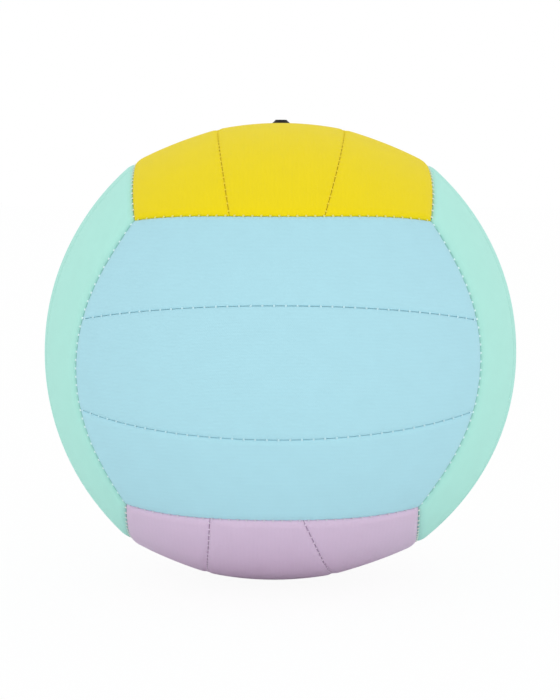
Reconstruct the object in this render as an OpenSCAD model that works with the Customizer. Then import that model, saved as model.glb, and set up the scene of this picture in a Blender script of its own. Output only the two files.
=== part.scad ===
// Soft-touch volleyball, size 5, made of eighteen machine-sewn panels over a bladder with an inflation valve.
// Six faces carry three parallel strips each. Each strip is a knitted cover, hemmed into its seams, with a
// foam pad laminated behind it. Millimetres, +Z up through the valve, origin at the middle of the ball.

/* [Ball] */
// Width of the ball from one side face to the other
ball_w = 210; // [190:1:230]
// Height of the ball from its bottom face to its top face
ball_h = 203.5; // [190:0.5:225]
// How much further the edges between the faces stand from the middle of the ball than the faces do
edge_rise = 3.4; // [0:0.1:5]
// Turn of the top face against the middle of the ball, as it was sewn, in degrees
sewn_twist = 2.9; // [0:0.1:8]
// How far the bottom face sits to the left, as it was sewn
bottom_lean = 3.6; // [0:0.1:6]

/* [Strips] */
// Width of a face's middle strip half way along it
waist_w = 56; // [46:1:66]
// Width of a face's middle strip at its two ends
strip_end_w = 38; // [30:1:48]
// How far the seams between the front or back face and the side faces are drawn in, which straightens them
side_bow = 4; // [0:0.5:6]
// How far the seams at the ends of the other faces' strips are drawn in
end_bow = 2.5; // [0:0.5:6]
// How far the seams between the side faces and the bottom face are drawn in
bottom_bow = 1; // [0:0.5:6]
// How much flatter than the ball a middle strip lies
middle_flat = 0.2; // [0:0.1:1]
// How much flatter than the ball an outer strip lies
side_flat = 0.6; // [0:0.1:1]
// How far the strip seams of the top face run to the left towards its front end, as they were sewn
top_skew = 2.7; // [0:0.1:6]
// How far the strip seams of the bottom face run to the left towards its front end
bottom_skew = 5; // [0:0.1:6]

/* [Panels] */
// Thickness of the knitted cover
cover_t = 0.9; // [0.5:0.1:1.4]
// Thickness of the foam pad
pad_t = 3; // [2.4:0.1:5]
// Film of glue between cover and pad
glue_t = 0.1; // [0.05:0.05:0.3]
// Width and depth of the edge that a cover rolls over into a seam
roll_r = 2; // [1.6:0.1:3]
// Gap between the two covers that a seam joins
seam_gap = 1; // [0.6:0.1:1.6]
// How deep the hems of the covers reach into the ball
hem_depth = 4; // [3.6:0.1:5.5]
// How far a hem leans back from the seam at its lower end
hem_lean = 0.4; // [0.2:0.1:0.8]

/* [Stitches] */
// Thickness of the sewing thread
thread_d = 0.7; // [0.4:0.1:0.9]
// Distance between two stitches of a seam inside the front, back, left and right faces
belt_pitch = 4.9; // [3.6:0.1:8]
// Distance between two stitches of a seam inside the top face
top_pitch = 4.2; // [3.6:0.1:8]
// Distance between two stitches of a seam inside the bottom face
bottom_pitch = 4.5; // [3.6:0.1:8]
// Distance between two stitches of a seam between two faces
edge_pitch = 3.9; // [3:0.1:6]
// Depth of the middle of the thread below the covers
stitch_sink = 0.9; // [0.6:0.1:1]
// Clearance between the ends of a stitch and the rolled edges
stitch_clear = 0.35; // [0.1:0.05:0.45]

/* [Bladder] */
// Thickness of the rubber bladder
bladder_t = 0.9; // [0.6:0.1:1.5]
// Room between the casing and the bladder
bladder_gap = 0.8; // [0.8:0.05:1]

/* [Valve] */
// Width of the head of the valve plug
head_d = 7.9; // [7.2:0.1:9.5]
// Width of the flat top of the head
head_top_d = 5; // [4.6:0.1:6.4]
// How far the head stands out of the ball
head_rise = 1.4; // [0.8:0.1:2]
// Width of the plug below its head
plug_d = 6.6; // [5.6:0.1:7]
// Length of the plug, from the boot's mouth down
plug_len = 18; // [14:0.5:24]
// Width of the needle hole
needle_d = 2.3; // [2:0.1:2.6]
// Depth of the needle hole down to the closed slit
needle_depth = 10; // [8:0.5:12]
// Width of the dimple round the needle hole
dimple_d = 3.6; // [3:0.1:4.4]
// Depth of the dimple
dimple_depth = 0.5; // [0.3:0.1:0.7]
// Wall of the boot round the plug
boot_wall = 2.2; // [1.5:0.1:3]
// Width of the boot's flange, which is bonded to the bladder
flange_d = 34; // [26:1:44]
// Thickness of the flange
flange_t = 1.2; // [0.8:0.1:2]
// Layer of rubber glue between the flange and the bladder
bond_t = 0.3; // [0.25:0.05:0.5]
// Thickness of the floor that the plug stands on
boot_floor_t = 1.6; // [1:0.1:3]
// Width of the air hole in that floor
air_hole_d = 3.4; // [2.6:0.1:4.4]
// Width of the reinforcing ring
patch_d = 26; // [22:1:40]
// Thickness of the reinforcing ring
patch_t = 0.4; // [0.3:0.05:0.5]
// Gap between the ring and the bladder under it
patch_gap = 0.1; // [0.05:0.05:0.15]
// Clearance round the plug, its head and the boot
valve_clear = 0.15; // [0.05:0.05:0.25]
// Room between the mouth of the boot and the cover over it
mouth_gap = 0.7; // [0.7:0.1:1]

/* [Hidden] */
// Share of the radius at which the corners of the six faces meet, as on a cube
corner_share = 1 / sqrt(3);
// Angle from the middle of a face's long edge to its end, seen across the ball
corner_angle = 45;
// Radius of the sphere that the seams are measured on
base_r = ball_w / 2 + middle_flat;
height_share = ball_h / ball_w;
// Share across a face at which its strip seams end. An end seam is straight between them and then turns away
seam_share = strip_end_w / (2 * base_r * corner_share);
// Powers that set how gently the strips round off towards their ends
flat_power = 4;
// Powers that set how the surface rises to a face's edges, along its strips and across them
along_power = 1.75;
across_power = 2;
// Power with which the lean of the bottom face grows below the middle of the ball
lean_power = 3;
// Powers with which the two kinds of end seam turn away to the corners
side_seam_power = 4;
end_seam_power = 3;
// Each kind of end seam: how far it is drawn in, as a share, and its power
side_seam = [side_bow / (base_r * corner_share), side_seam_power];
end_seam = [end_bow / (base_r * corner_share), end_seam_power];
bottom_seam = [bottom_bow / (base_r * corner_share), end_seam_power];
// How the strip seams of a face shift across it: their share at its end, and the power with which it grows
top_shift_power = 1;
bottom_shift_power = 3;
no_shift = [0, top_shift_power];
top_shift = [-top_skew / base_r, top_shift_power];
bottom_shift = [bottom_skew / base_r, bottom_shift_power];

// Extra depth that a layer's bend takes inside a rolled edge
bend_share = sqrt(2) - 1;
half_gap = seam_gap / 2;
pad_depth = cover_t + glue_t;
casing_t = max(pad_depth + pad_t, hem_depth);

// The bladder lies inside the flattest strips all round
bladder_flat = max(middle_flat, side_flat);
bladder_depth = casing_t + bladder_gap;
boot_d = plug_d + 2 * (boot_wall + valve_clear);
boot_top = ball_h / 2 - cover_t - mouth_gap;
boot_bottom = boot_top - plug_len - valve_clear - boot_floor_t;
head_hole_d = head_d + 2 * valve_clear;
boot_hole_d = boot_d + 2 * valve_clear;
head_top = ball_h / 2 + head_rise;
// One overrun serves all cuts
cut_over = 1;

// Points along a strip between its rolled edges, and across a middle strip and an outer one
points_along = 9;
middle_points = 3;
side_points = 4;
// Rows of the bladder from the flange to the lowest point, points in a row, and steps of a curved ring
bladder_rows = 14;
bladder_columns = 30;
swell_share = 0.55;
swell_power = 3;
ring_steps = 6;
round_fn = 64;
thread_fn = 14;

blue = [0.68, 0.86, 0.92];
mint = [0.69, 0.92, 0.86];
yellow = [0.92, 0.85, 0.18];
lilac = [0.78, 0.70, 0.80];
foam_white = [0.90, 0.90, 0.87];
thread_white = [0.93, 0.95, 0.92];
bladder_black = [0.16, 0.16, 0.17];
valve_black = [0.08, 0.08, 0.08];
canvas = [0.80, 0.77, 0.68];

// The names of a face's three strips
level_names = ["lower", "middle", "upper"];
upright_names = ["front", "middle", "back"];
cap_names = ["left", "middle", "right"];

// The seams of a face: at the two ends of its strips, and along both its long edges
belt = [side_seam, side_seam, end_seam];
left_side = [bottom_seam, end_seam, side_seam];
right_side = [end_seam, bottom_seam, side_seam];
upper_cap = [end_seam, end_seam, end_seam];
lower_cap = [end_seam, end_seam, bottom_seam];

// Each face: its name, its outward normal, the way its strips run, the way they are laid side by side,
// its colour, the names of its three strips in that order, its seams, how its strip seams shift across it,
// and their stitch pitch
FACES = [
    ["front", [0, -1, 0], [1, 0, 0], [0, 0, 1], blue, level_names, belt, no_shift, belt_pitch],
    ["back", [0, 1, 0], [-1, 0, 0], [0, 0, 1], blue, level_names, belt, no_shift, belt_pitch],
    ["left", [-1, 0, 0], [0, 0, 1], [0, 1, 0], mint, upright_names, left_side, no_shift, belt_pitch],
    ["right", [1, 0, 0], [0, 0, -1], [0, 1, 0], mint, upright_names, right_side, no_shift, belt_pitch],
    ["top", [0, 0, 1], [0, -1, 0], [1, 0, 0], yellow, cap_names, upper_cap, top_shift, top_pitch],
    ["bottom", [0, 0, -1], [0, 1, 0], [1, 0, 0], lilac, cap_names, lower_cap, bottom_shift, bottom_pitch],
];
STRIPS = [0, 1, 2];
middle_strip = STRIPS[1];
valve_face = "top";

function strip_name(face, strip, piece) = str(face[0], "_", face[5][strip], "_", piece);
function thread_name(face, piece) = str(face[0], "_", piece);

// A direction on the face from its shares along the normal, along the strips and across them
function on_face(face, n, a, c) = n * face[1] + a * face[2] + c * face[3];

// Share along the normal at which strips end. Drawn in, the seam runs straight in its middle third, and turns
// away to the corners beyond it
function end_normal(c, seam) =
    let (beyond = max(abs(c) / corner_share - seam_share, 0) / (1 - seam_share))
    corner_share * (1 + seam[0] * (1 - pow(beyond, seam[1])));

// The seam at the end of a face's strips that t lies towards, and the one along its long edges
function seam_towards(face, t) = face[6][t < 0 ? 0 : 1];
function edge_seam(face) = face[6][2];

// Angle from the middle of a strip to the end that t lies towards, at a share across the face
function end_angle(face, t, c) = acos(end_normal(c, seam_towards(face, t)) / sqrt(1 - c * c));

// Length of a face's strips at a share across it
function strip_length(face, c) = base_r * (end_angle(face, -1, c) + end_angle(face, 1, c)) * PI / 180;

// Share across the face of half the middle strip, for t from -1 to 1 along it
function strip_seam(t) = (waist_w + (strip_end_w - waist_w) * t * t) / (2 * base_r);

// Share across the face of its long edge, which is the end of the next face's strips, found in a few rounds
function long_edge(t, seam, rounds = 5) =
    rounds == 0 ? corner_share
    : let (c = long_edge(t, seam, rounds - 1),
           a = sqrt(1 - c * c) * sin(t * corner_angle))
    end_normal(a, seam);

// The four lines that bound the strips of a face, from one long edge to the other
function line_share(face, line, t) =
    let (edge = long_edge(t, edge_seam(face)),
         half = strip_seam(t),
         shift = face[7][0] * sign(t) * pow(abs(t), face[7][1]))
    [-edge, shift - half, shift + half, edge][line];

// A direction on a face, for t from -1 to 1 along its strips and a share c across it
function face_direction(face, t, c) =
    let (r = sqrt(1 - c * c), angle = t * end_angle(face, t, c))
    on_face(face, r * cos(angle), r * sin(angle), c);

// The seam at one end of a face's strips, for s from -1 to 1 across the face
function end_direction(face, side, s) =
    let (c = s * corner_share, n = end_normal(c, seam_towards(face, side)))
    on_face(face, n, side * sqrt(1 - n * n - c * c), c);

// How far the surface stands out at shares along and across a face, which are 1 at its edges
function ridge(along, across) =
    edge_rise * (1 - (1 - pow(abs(along), along_power)) * (1 - pow(abs(across), across_power)));

// The point of the ball in a direction, sunk by a flatness and then by a depth below the surface.
// As it was sewn, the ball is turned about Z in step with its height and leans to one side below its middle.
// It is a little less high than wide.
function ball_point(direction, flat, depth) =
    let (u = direction / norm(direction),
         p = (base_r - flat) * u,
         turn = sewn_twist * u.z,
         lean = -bottom_lean * pow(max(-u.z, 0), lean_power),
         x = p.x * cos(turn) - p.y * sin(turn) + lean,
         y = p.x * sin(turn) + p.y * cos(turn),
         q = [x, y, p.z * height_share])
    q * (1 - depth / norm(q));

function strip_flat(strip) = strip == middle_strip ? middle_flat : side_flat;
function points_across(strip) = strip == middle_strip ? middle_points : side_points;

// A row of a panel's grid is [share, offset, depth]: its place is the share of the panel's length or width
// plus the offset, which is a real size. An edge profile lists the rows from a seam to the shoulder.
function grid_rows(profile, count) =
    let (last = len(profile) - 1, shoulder = profile[last])
    [
        for (p = profile) [0, p.x, p.y],
        for (k = [1:count]) let (f = k / (count + 1)) [f, shoulder.x * (1 - 2 * f), shoulder.y],
        for (k = [0:last]) let (p = profile[last - k]) [1, -p.x, p.y],
    ];

// A point of a panel, from a row along the strip and a row across it
function panel_point(face, strip, along, across) =
    let (c_mid = (line_share(face, strip, 0) + line_share(face, strip + 1, 0)) / 2,
         half_len = strip_length(face, c_mid) / 2,
         t = 2 * along[0] - 1 + along[1] / half_len,
         low = line_share(face, strip, t),
         high = line_share(face, strip + 1, t),
         v = across[0] + across[1] / (base_r * (asin(high) - asin(low)) * PI / 180),
         c = low + (high - low) * v,
         flat = strip_flat(strip) * 4 * v * (1 - v) * (1 - pow(t, flat_power)),
         rise = ridge(t, c / long_edge(t, edge_seam(face))))
    ball_point(face_direction(face, t, c), flat - rise, max(along[2], across[2]));

function panel_sheet(face, strip, profile) =
    [for (along = grid_rows(profile, points_along)) for (across = grid_rows(profile, points_across(strip)))
        panel_point(face, strip, along, across)];

// Triangles of a closed shell between an outer and an inner sheet with the same grid
function shell_faces(rows, columns) =
    let (outer = function (i, j) i * columns + j, inner = function (i, j) rows * columns + i * columns + j)
    [
        for (i = [0:rows - 2]) for (j = [0:columns - 2]) each [
            [outer(i, j), outer(i, j + 1), outer(i + 1, j + 1)],
            [outer(i, j), outer(i + 1, j + 1), outer(i + 1, j)],
            [inner(i, j), inner(i + 1, j + 1), inner(i, j + 1)],
            [inner(i, j), inner(i + 1, j), inner(i + 1, j + 1)],
        ],
        for (i = [0:rows - 2]) let (j = columns - 1) each [
            [outer(i, 0), outer(i + 1, 0), inner(i + 1, 0)],
            [outer(i, 0), inner(i + 1, 0), inner(i, 0)],
            [outer(i + 1, j), outer(i, j), inner(i, j)],
            [outer(i + 1, j), inner(i, j), inner(i + 1, j)],
        ],
        for (j = [0:columns - 2]) let (i = rows - 1) each [
            [outer(0, j + 1), outer(0, j), inner(0, j)],
            [outer(0, j + 1), inner(0, j), inner(0, j + 1)],
            [outer(i, j), outer(i, j + 1), inner(i, j + 1)],
            [outer(i, j), inner(i, j + 1), inner(i, j)],
        ],
    ];

// A panel layer between two edge profiles with equal numbers of rows
module panel_layer(face, strip, outer_profile, inner_profile) {
    rows = points_along + 2 * len(outer_profile);
    columns = points_across(strip) + 2 * len(outer_profile);
    polyhedron(
        points = concat(panel_sheet(face, strip, outer_profile), panel_sheet(face, strip, inner_profile)),
        faces = shell_faces(rows, columns),
        convexity = 8);
}

// The edge of a layer at a distance inside the cover's outer face, as [offset from the seam, depth]
function hem_point(inside) = [half_gap + inside + hem_lean, hem_depth];
function roll_low_point(inside) = [half_gap + inside, roll_r + bend_share * inside];
function shoulder_point(inside) = [half_gap + roll_r + bend_share * inside, inside];

function has_valve(face, strip) = face[0] == valve_face && strip == middle_strip;

module valve_hole(width) {
    cylinder(h = head_top + cut_over, d = width, $fn = round_fn);
}

// A knitted cover: it rolls over at each seam and its hems hang into the ball
module cover(face, strip) {
    outer_profile = [hem_point(0), roll_low_point(0), shoulder_point(0)];
    inner_profile = [hem_point(cover_t), roll_low_point(cover_t), shoulder_point(cover_t)];
    color(face[4])
    if (has_valve(face, strip))
        difference() {
            panel_layer(face, strip, outer_profile, inner_profile);
            valve_hole(head_hole_d);
        }
    else
        panel_layer(face, strip, outer_profile, inner_profile);
}

// The foam pad that fills a cover between its hems
module pad(face, strip) {
    back = pad_depth + pad_t;
    outer_profile = [roll_low_point(pad_depth), shoulder_point(pad_depth)];
    inner_profile = [[half_gap + pad_depth + hem_lean, back], [shoulder_point(pad_depth).x, back]];
    color(foam_white)
    if (has_valve(face, strip))
        difference() {
            panel_layer(face, strip, outer_profile, inner_profile);
            valve_hole(boot_hole_d);
        }
    else
        panel_layer(face, strip, outer_profile, inner_profile);
}

// One stitch: a short length of thread that crosses a seam between the rolled edges. The seam's points
// before and after it give the way the seam runs.
module stitch(before, here, after) {
    run = (after - before) / norm(after - before);
    up = here / norm(here);
    across = cross(up, run);
    length = 2 * (half_gap + roll_r - stitch_sink - thread_d / 2 - stitch_clear);
    tilt = acos(across.z / norm(across));
    heading = atan2(across.y, across.x);
    translate(here)
        rotate([0, tilt, heading])
            cylinder(h = length, d = thread_d, center = true, $fn = thread_fn);
}

// A row of stitches between two ends of a seam, given the seam's point for s from -1 to 1
module stitch_row(seam_point, seam_len, pitch) {
    count = round(seam_len / pitch);
    step = 2 / count;
    for (k = [0:count - 1]) {
        s = -1 + (k + 0.5) * step;
        stitch(seam_point(s - step / 4), seam_point(s), seam_point(s + step / 4));
    }
}

// The thread of the two seams inside a face
module strip_thread(face) {
    color(thread_white)
    for (line = [1, 2])
        stitch_row(
            function (t)
                let (c = line_share(face, line, t),
                     rise = ridge(t, c / long_edge(t, edge_seam(face))))
                ball_point(face_direction(face, t, c), -rise, stitch_sink),
            strip_length(face, line_share(face, line, 0)),
            face[8]);
}

// The thread of the two seams at the ends of a face's strips
module end_thread(face) {
    color(thread_white)
    for (side = [-1, 1])
        stitch_row(
            function (s) ball_point(end_direction(face, side, s), -edge_rise, stitch_sink),
            2 * (base_r + edge_rise) * asin(corner_share) * PI / 180,
            edge_pitch);
}

// Height of a dome that follows the top of the bladder at a distance outside it
function dome_z(x, outside) =
    let (r = base_r - bladder_flat,
         a = r - bladder_depth + outside,
         c = r * height_share - bladder_depth + outside)
    c * sqrt(1 - pow(x / a, 2));

// Section of a curved ring between two distances outside the bladder
function ring_section(inner_x, outer_x, low, high) =
    let (x = [for (k = [0:ring_steps]) inner_x + (outer_x - inner_x) * k / ring_steps])
    [
        for (k = [0:ring_steps]) [x[k], dome_z(x[k], low)],
        for (k = [ring_steps:-1:0]) [x[k], dome_z(x[k], high)],
    ];

// Angle from the top of the bladder at which it is a distance away from the axis
function bladder_angle(x) = asin(x / (base_r - bladder_depth));

// Angles from the top of the bladder's rows: the edge of its hole, the edge of the flange, and even steps on
function bladder_angles() =
    let (flange = bladder_angle(flange_d / 2))
    [
        bladder_angle(boot_hole_d / 2),
        for (k = [0:bladder_rows - 1]) flange + (180 - flange) * k / bladder_rows,
    ];

// How far the bladder swells into the casing's edges, where the two largest shares of a direction are equal
function swell(u) =
    let (shares = [abs(u.x), abs(u.y), abs(u.z)],
         largest = max(shares),
         next = shares.x + shares.y + shares.z - largest - min(shares))
    swell_share * edge_rise * pow(next / largest, swell_power);

function bladder_sheet(depth) =
    [for (tilt = bladder_angles()) for (j = [0:bladder_columns - 1])
        let (heading = 360 * j / bladder_columns,
             u = [sin(tilt) * cos(heading), sin(tilt) * sin(heading), cos(tilt)])
        ball_point(u, bladder_flat - swell(u), depth)];

// Triangles of a round bag with a hole on top: an outer and an inner sheet, then the lowest point of each
function bag_faces(rows, columns) =
    let (sheet = rows * columns,
         outer = function (i, j) i * columns + j % columns,
         inner = function (i, j) sheet + i * columns + j % columns,
         outer_low = 2 * sheet,
         inner_low = 2 * sheet + 1)
    [
        for (i = [0:rows - 2]) for (j = [0:columns - 1]) each [
            [outer(i, j), outer(i, j + 1), outer(i + 1, j + 1)],
            [outer(i, j), outer(i + 1, j + 1), outer(i + 1, j)],
            [inner(i, j), inner(i + 1, j + 1), inner(i, j + 1)],
            [inner(i, j), inner(i + 1, j), inner(i + 1, j + 1)],
        ],
        for (j = [0:columns - 1]) let (i = rows - 1) each [
            [outer(0, j + 1), outer(0, j), inner(0, j)],
            [outer(0, j + 1), inner(0, j), inner(0, j + 1)],
            [outer(i, j), outer(i, j + 1), outer_low],
            [inner(i, j), inner_low, inner(i, j + 1)],
        ],
    ];

// The bladder: pumped up, it takes the form of the casing
module bladder() {
    inner_depth = bladder_depth + bladder_t;
    lowest = [for (depth = [bladder_depth, inner_depth]) ball_point([0, 0, -1], bladder_flat, depth)];
    color(bladder_black)
    polyhedron(
        points = concat(bladder_sheet(bladder_depth), bladder_sheet(inner_depth), lowest),
        faces = bag_faces(bladder_rows + 1, bladder_columns),
        convexity = 4);
}

// The boot: a barrel that holds the plug, with a flange bonded to the inside of the bladder
module valve_boot() {
    flange_top = -bladder_t - bond_t;
    inner_x = plug_d / 2 + boot_wall / 2;
    color(bladder_black)
    difference() {
        union() {
            translate([0, 0, boot_bottom])
                cylinder(h = boot_top - boot_bottom, d = boot_d, $fn = round_fn);
            rotate_extrude($fn = round_fn)
                polygon(ring_section(inner_x, flange_d / 2, flange_top - flange_t, flange_top));
        }
        translate([0, 0, boot_bottom + boot_floor_t])
            cylinder(h = plug_len + valve_clear + cut_over, d = plug_d + 2 * valve_clear, $fn = round_fn);
        translate([0, 0, boot_bottom - cut_over])
            cylinder(h = boot_floor_t + 2 * cut_over, d = air_hole_d, $fn = round_fn);
    }
}

// The plug: its head closes the hole in the cover, and the needle hole ends in a slit that closes by itself
module valve_plug() {
    head_edge = ball_h / 2 + (head_rise - (head_d - head_top_d) / 2) / 2;
    round_steps = 5;
    color(valve_black)
    difference() {
        rotate_extrude($fn = round_fn)
            polygon([
                [0, boot_top - plug_len],
                [plug_d / 2, boot_top - plug_len],
                [plug_d / 2, boot_top],
                [head_d / 2, boot_top],
                for (k = [0:round_steps]) let (angle = 90 * k / round_steps)
                    [head_top_d / 2 + (head_d - head_top_d) / 2 * cos(angle),
                     head_edge + (head_top - head_edge) * sin(angle)],
                [0, head_top],
            ]);
        translate([0, 0, head_top - dimple_depth - needle_depth])
            cylinder(h = needle_depth + cut_over, d = needle_d, $fn = round_fn);
        translate([0, 0, head_top - dimple_depth])
            cylinder(h = dimple_depth + cut_over, d = dimple_d, $fn = round_fn);
    }
}

// The ring of tape round the hole in the casing, between the pad and the bladder
module valve_ring() {
    color(canvas)
    rotate_extrude($fn = round_fn)
        polygon(ring_section(boot_hole_d / 2, patch_d / 2, patch_gap, patch_gap + patch_t));
}

for (face = FACES) for (strip = STRIPS) {
    cover(face, strip);
    pad(face, strip);
}
for (face = FACES) {
    strip_thread(face);
    end_thread(face);
}
bladder();
valve_boot();
valve_plug();
valve_ring();
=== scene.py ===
"""Looks of a soft-touch volleyball of eighteen sewn panels.

The ball has six faces of three parallel strips. Each strip has a knitted cover whose edges roll over into
the seams and pucker at every stitch, and a foam pad behind it. Stitches of two strands of thread cross the
seams. Inside are the bladder and the boot of the valve, whose plug shows on top. The form is the same as in
the CAD part, worked out finer. Sizes are in millimetres up to the point where a mesh is made.
"""

import math
from collections import namedtuple

import bmesh
import bpy
import numpy as np
from mathutils import Matrix, Vector


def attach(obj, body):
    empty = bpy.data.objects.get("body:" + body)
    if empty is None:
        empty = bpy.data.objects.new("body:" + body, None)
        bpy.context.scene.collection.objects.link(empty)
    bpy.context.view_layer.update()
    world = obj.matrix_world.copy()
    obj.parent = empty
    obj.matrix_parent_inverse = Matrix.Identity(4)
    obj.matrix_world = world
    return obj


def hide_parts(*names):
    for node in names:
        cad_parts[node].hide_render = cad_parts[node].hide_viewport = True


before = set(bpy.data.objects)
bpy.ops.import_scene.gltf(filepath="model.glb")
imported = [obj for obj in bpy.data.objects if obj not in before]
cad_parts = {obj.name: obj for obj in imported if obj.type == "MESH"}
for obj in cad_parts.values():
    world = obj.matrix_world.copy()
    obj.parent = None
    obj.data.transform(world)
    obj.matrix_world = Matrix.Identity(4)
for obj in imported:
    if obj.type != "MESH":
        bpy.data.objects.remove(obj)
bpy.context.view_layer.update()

MM = 0.001
BODY = "root"

# The ball: its width, its height and how far the edges between its faces stand out. Below its middle it leans
# to the left, and its sewing is turned about the upright axis
BALL_W = 210.0
BALL_H = 203.5
EDGE_RISE = 3.4
SEWN_TWIST = math.radians(2.9)
BOTTOM_LEAN = 3.6
LEAN_POWER = 3

# The strips: the middle strip's width at its waist and its ends, how far the seams bow out, how much flatter
# a strip is than the ball, and how far askew the strips of the top and bottom run
WAIST_W = 56.0
STRIP_END_W = 38.0
SIDE_BOW = 4.0
END_BOW = 2.5
BOTTOM_BOW = 1.0
MIDDLE_FLAT = 0.2
SIDE_FLAT = 0.6
TOP_SKEW = 2.7
BOTTOM_SKEW = 5.0
BASE_R = BALL_W / 2 + MIDDLE_FLAT
CORNER = 1 / math.sqrt(3)
SEAM_SHARE = STRIP_END_W / (2 * BASE_R * CORNER)
FLAT_POWER = 4
ALONG_POWER = 1.75
ACROSS_POWER = 2
EDGE_ROUNDS = 6

# The covers, from the outer face down into the hems. HEM_SHADE is the share of its light that a hem loses,
# as shade painted into the cover's colour, and ROLL_SHADE how much of that painted shade reaches a roll's
# foot
COVER_T = 0.9
PAD_T = 3.0
GLUE_T = 0.1
HEM_DEPTH = 4.0
HEM_GAP = 0.15
HEM_MOUTH_GAP = HEM_GAP / 3
HEM_POINTS = 3
HEM_FOLLOW_SHARE = 0.4
SEWN_DEPTH = 0.25
HEM_SHADE_DEPTH = 0.4
HEM_SHADE = 0.55
ROLL_SHADE = {"blue": 0.0, "mint": 0.3, "yellow": 0.0, "lilac": 0.05}
CORNER_POWER = 4

# Half the gap of a seam at a stitch, and open between two stitches: inside a face, and between two faces
GAP_PINCHED = 0.03
STRIP_GAP_OPEN = {"blue": 0.065, "mint": 0.065, "yellow": 0.075, "lilac": 0.17}
EDGE_GAP_OPEN = {
    "blue mint": 0.42,
    "blue yellow": 0.07,
    "blue lilac": 0.045,
    "mint yellow": 0.08,
    "lilac mint": 0.27,
}
PINCH_HOLD = 1.8
GAP_FADE_POWER = 8

# The puckers round the stitches, and how unlike each other the stitches pull
PUCKER_DEPTH = 0.25
PUCKER_ALONG = 1.2
PUCKER_ACROSS = 2.2
PULL_LEAST = 0.8
PULL_SPREAD = 0.4
SCATTER_STEP = 12.9898
SCATTER_SEED = 78.233
SCATTER_SCALE = 43758.5453

# The roll of a cover's edge: narrow at a seam inside a face, wide at an edge between two faces
Roll = namedtuple("Roll", "width depth")
STRIP_ROLL = Roll(width=2.8, depth=0.9)
EDGE_ROLL = Roll(width=4.2, depth=1.6)
ROLL_STEPS = 11
ROLL_LEAST = 0.3

# The stitches: two strands of thread, whose tips are rounded by a power
THREAD_D = 0.45
THREAD_APART = 0.42
STITCH_HALF_LEN = 0.8
STITCH_DIP = 0.5
TIP_POWER = 8
TIP_LEFT = 0.02

# How a seam is sewn: the distance between two stitches, how far each draws the gap shut, and its depth
Sewing = namedtuple("Sewing", "pitch pinch depth")
STRIP_SEWING = {
    "blue": Sewing(pitch=4.9, pinch=0.95, depth=0.55),
    "mint": Sewing(pitch=4.9, pinch=0.95, depth=0.55),
    "yellow": Sewing(pitch=4.2, pinch=0.7, depth=0.55),
    "lilac": Sewing(pitch=4.5, pinch=1.2, depth=0.55),
}
EDGE_SEWING = Sewing(pitch=3.9, pinch=0.8, depth=1.05)

# The bladder and the valve
BLADDER_T = 0.9
BLADDER_GAP = 0.8
SWELL_SHARE = 0.55
SWELL_POWER = 3
HEAD_D = 7.9
HEAD_TOP_D = 5.0
HEAD_RISE = 1.4
HEAD_SHOULDER_POWER = 0.9
PLUG_D = 6.6
PLUG_LEN = 18.0
PLUG_CHAMFER = 0.5
NEEDLE_D = 2.3
NEEDLE_DEPTH = 10.0
DIMPLE_D = 3.6
DIMPLE_DEPTH = 0.5
BOOT_WALL = 2.2
BOOT_LIP = 0.4
FLANGE_D = 34.0
FLANGE_T = 1.2
BOND_T = 0.3
BOOT_FLOOR_T = 1.6
AIR_HOLE_D = 3.4
PATCH_D = 26.0
PATCH_T = 0.4
PATCH_GAP = 0.1
VALVE_CLEAR = 0.15
MOUTH_GAP = 0.7

# How far a seam bows out, as a share, and the power by which it turns in towards its ends
Seam = namedtuple("Seam", "bow power")
SIDE_SEAM = Seam(SIDE_BOW / (BASE_R * CORNER), 4)
END_SEAM = Seam(END_BOW / (BASE_R * CORNER), 3)
BOTTOM_SEAM = Seam(BOTTOM_BOW / (BASE_R * CORNER), 3)

# How far the middle strip of a face runs askew, as a share, and by what power of the way along it
Shift = namedtuple("Shift", "share power")
NO_SHIFT = Shift(0, 1)
TOP_SHIFT = Shift(-TOP_SKEW / BASE_R, 1)
BOTTOM_SHIFT = Shift(BOTTOM_SKEW / BASE_R, 3)

# The seams at the two ends of a face's strips, and the seam along both its long edges
Seams = namedtuple("Seams", "first last edge")
UPRIGHT_STRIPS = ("front", "middle", "back")
LEVEL_STRIPS = ("lower", "middle", "upper")
CAP_STRIPS = ("left", "middle", "right")
FRONT_SEAMS = Seams(SIDE_SEAM, SIDE_SEAM, END_SEAM)
LEFT_SEAMS = Seams(BOTTOM_SEAM, END_SEAM, SIDE_SEAM)
RIGHT_SEAMS = Seams(END_SEAM, BOTTOM_SEAM, SIDE_SEAM)
TOP_SEAMS = Seams(END_SEAM, END_SEAM, END_SEAM)
BOTTOM_SEAMS = Seams(END_SEAM, END_SEAM, BOTTOM_SEAM)

# A face has an outward normal, the way along its strips and the way across them
Face = namedtuple("Face", "name normal along across colour strips seams shift")
FACES = [
    Face("front", (0, -1, 0), (1, 0, 0), (0, 0, 1), "blue", LEVEL_STRIPS, FRONT_SEAMS, NO_SHIFT),
    Face("back", (0, 1, 0), (-1, 0, 0), (0, 0, 1), "blue", LEVEL_STRIPS, FRONT_SEAMS, NO_SHIFT),
    Face("left", (-1, 0, 0), (0, 0, 1), (0, 1, 0), "mint", UPRIGHT_STRIPS, LEFT_SEAMS, NO_SHIFT),
    Face("right", (1, 0, 0), (0, 0, -1), (0, 1, 0), "mint", UPRIGHT_STRIPS, RIGHT_SEAMS, NO_SHIFT),
    Face("top", (0, 0, 1), (0, -1, 0), (1, 0, 0), "yellow", CAP_STRIPS, TOP_SEAMS, TOP_SHIFT),
    Face("bottom", (0, 0, -1), (0, 1, 0), (1, 0, 0), "lilac", CAP_STRIPS, BOTTOM_SEAMS, BOTTOM_SHIFT),
]
STRIPS = (0, 1, 2)


# The form of the ball


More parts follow.
